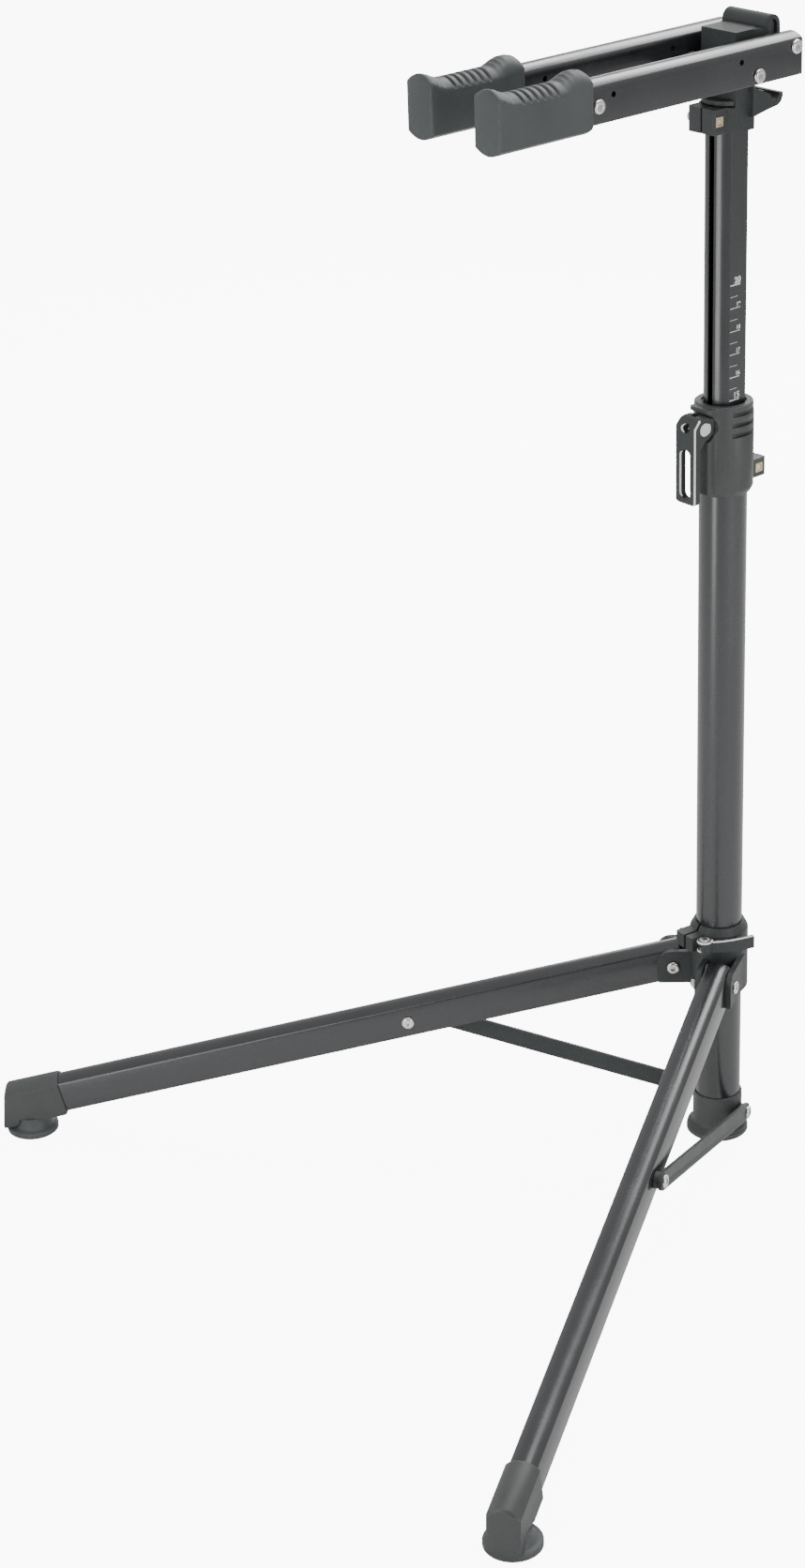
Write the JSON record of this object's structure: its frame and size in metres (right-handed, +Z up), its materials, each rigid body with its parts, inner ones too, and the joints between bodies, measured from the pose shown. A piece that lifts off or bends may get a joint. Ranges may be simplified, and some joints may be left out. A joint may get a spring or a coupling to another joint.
{
  "type": "bicycle repair stand",
  "caption": "Folding repair stand: round column, sliding hub with two braced legs, telescoping D-section mast and a head with two padded arms that hold a bicycle.",
  "frame": {"origin": "centre of the column's rubber foot, on the floor", "axes": "+Z up along the column; the padded arms point along -Y and the two legs open either side of -Y"},
  "size_m": [0.9907, 0.7535, 1.2465],
  "materials": {
    "black_anodised_tube": "satin black anodising on extruded tube",
    "cast_black": "satin black powder coat on castings",
    "moulded_black": "fine-textured glass-filled nylon",
    "grip_rubber": "soft matte moulded grip",
    "foot_rubber": "matte rubber",
    "bright_steel": "bright zinc or chrome plate",
    "brass_nut": "plain brass"
  },
  "bodies": {
    "column": {"column_tube": "black_anodised_tube", "base_cap": "moulded_black", "base_foot": "foot_rubber", "strut_base_bolt_right": "bright_steel", "strut_base_bolt_left": "bright_steel", "collar_housing": "moulded_black", "mast_bush": "moulded_black", "collar_clamp_nut": "brass_nut", "collar_clamp_screw": "bright_steel", "collar_lever_pin": "bright_steel", "cam_shoe": "bright_steel", "collar_draw_screw": "bright_steel"},
    "collar_lever": {"collar_lever": "cast_black"},
    "hub": {"hub_casting": "cast_black", "hub_liner": "moulded_black", "hub_skewer": "bright_steel", "hub_skewer_nut": "bright_steel", "hub_lever_pin": "bright_steel", "hinge_bolt_right": "bright_steel", "hinge_bolt_left": "bright_steel", "hinge_nut_right": "bright_steel", "hinge_nut_left": "bright_steel"},
    "hub_lever": {"hub_lever": "cast_black"},
    "mast": {"mast_tube": "black_anodised_tube", "mast_glide": "moulded_black", "mast_cap": "moulded_black", "head_casting": "cast_black", "head_clamp_nut": "brass_nut", "head_clamp_screw": "bright_steel", "stop_bumper": "foot_rubber"},
    "arms": {"arm_right": "black_anodised_tube", "arm_left": "black_anodised_tube", "grip_right": "grip_rubber", "grip_left": "grip_rubber", "grip_bolt_right": "bright_steel", "grip_bolt_left": "bright_steel", "grip_nut_right": "bright_steel", "grip_nut_left": "bright_steel", "pivot_bolt": "bright_steel", "pivot_nut": "bright_steel", "rear_bolt": "bright_steel", "rear_nut": "bright_steel", "rear_sleeve": "bright_steel"},
    "leg_right": {"leg_tube_right": "black_anodised_tube", "leg_plug_right": "moulded_black", "strut_spacer_right": "moulded_black", "strut_bolt_right": "bright_steel", "foot_cap_right": "moulded_black", "foot_pad_right": "foot_rubber"},
    "strut_right": {"strut_bar_right": "cast_black", "strut_nut_right": "bright_steel"},
    "leg_left": {"leg_tube_left": "black_anodised_tube", "leg_plug_left": "moulded_black", "strut_spacer_left": "moulded_black", "strut_bolt_left": "bright_steel", "foot_cap_left": "moulded_black", "foot_pad_left": "foot_rubber"},
    "strut_left": {"strut_bar_left": "cast_black", "strut_nut_left": "bright_steel"}
  },
  "joints": [
    {"name": "hub_slide", "type": "slide", "parent": "column", "child": "hub", "axis": [0, 0, 1], "range_m": [0, 0.476]},
    {"name": "leg_fold_right", "type": "hinge", "parent": "hub", "child": "leg_right", "pos_m": [0.03403, -0.03829, 0.2086], "axis": [0.8698, 0.4935, 0], "range_deg": [0, 75.7]},
    {"name": "leg_fold_left", "type": "hinge", "parent": "hub", "child": "leg_left", "pos_m": [-0.04191, -0.02947, 0.2086], "axis": [0.7334, -0.6798, 0], "range_deg": [0, 75.7]},
    {"name": "strut_fold_right", "type": "hinge", "parent": "column", "child": "strut_right", "pos_m": [0.02835, 0.01609, 0.0245], "axis": [-0.8698, -0.4935, 0], "range_deg": [0, 62.82]},
    {"name": "strut_fold_left", "type": "hinge", "parent": "column", "child": "strut_left", "pos_m": [-0.02391, 0.02216, 0.0245], "axis": [-0.7334, 0.6798, 0], "range_deg": [0, 62.82]},
    {"name": "hub_lever_turn", "type": "hinge", "parent": "hub", "child": "hub_lever", "pos_m": [0.01659, -0.03918, 0.25], "axis": [0, 0, -1], "range_deg": [0, 90]},
    {"name": "mast_slide", "type": "slide", "parent": "column", "child": "mast", "axis": [0, 0, 1], "range_m": [-0.275, 0.24]},
    {"name": "collar_lever_turn", "type": "hinge", "parent": "column", "child": "collar_lever", "pos_m": [0, -0.0408, 0.8383], "axis": [-1, 0, 0], "range_deg": [0, 90]},
    {"name": "arms_fold", "type": "hinge", "parent": "mast", "child": "arms", "pos_m": [0, -0.0181, 1.2005], "axis": [-1, 0, 0], "range_deg": [0, 43]}
  ],
  "couplings": [
    {"joint": "leg_fold_right", "follows": "hub_slide", "rad_per_m": 2.7683},
    {"joint": "leg_fold_left", "follows": "hub_slide", "rad_per_m": 2.7683},
    {"joint": "strut_fold_right", "follows": "hub_slide", "rad_per_m": 2.296},
    {"joint": "strut_fold_left", "follows": "hub_slide", "rad_per_m": 2.296}
  ]
}
